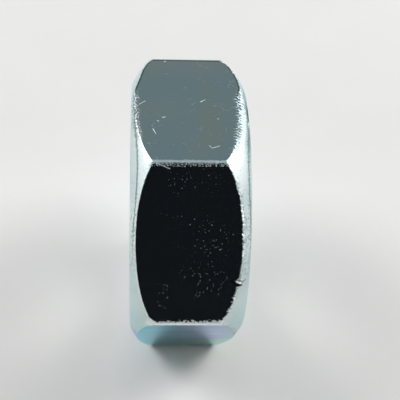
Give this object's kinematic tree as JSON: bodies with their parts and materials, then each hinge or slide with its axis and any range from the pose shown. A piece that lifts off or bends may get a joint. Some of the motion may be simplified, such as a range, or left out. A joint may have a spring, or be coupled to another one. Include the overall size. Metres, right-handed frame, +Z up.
{
  "type": "hex jam nut",
  "caption": "Thin hexagonal steel nut with chamfered ends and a threaded hole, zinc plated, standing on one of its flats.",
  "frame": {"origin": "middle of the threaded hole, which is the centre of the nut", "axes": "+X along the thread axis towards the cut end, +Z up and square to the upper flat, +Y away from the front corner; the nut stands on its lower flat"},
  "size_m": [0.008, 0.0218, 0.0188],
  "materials": {
    "zinc": "bright zinc plate with a clear blue passivation, smooth on the flats with fine scratches and specks, faintly rainbow coloured at low angles"
  },
  "bodies": {
    "root": {"nut": "zinc"}
  },
  "joints": []
}
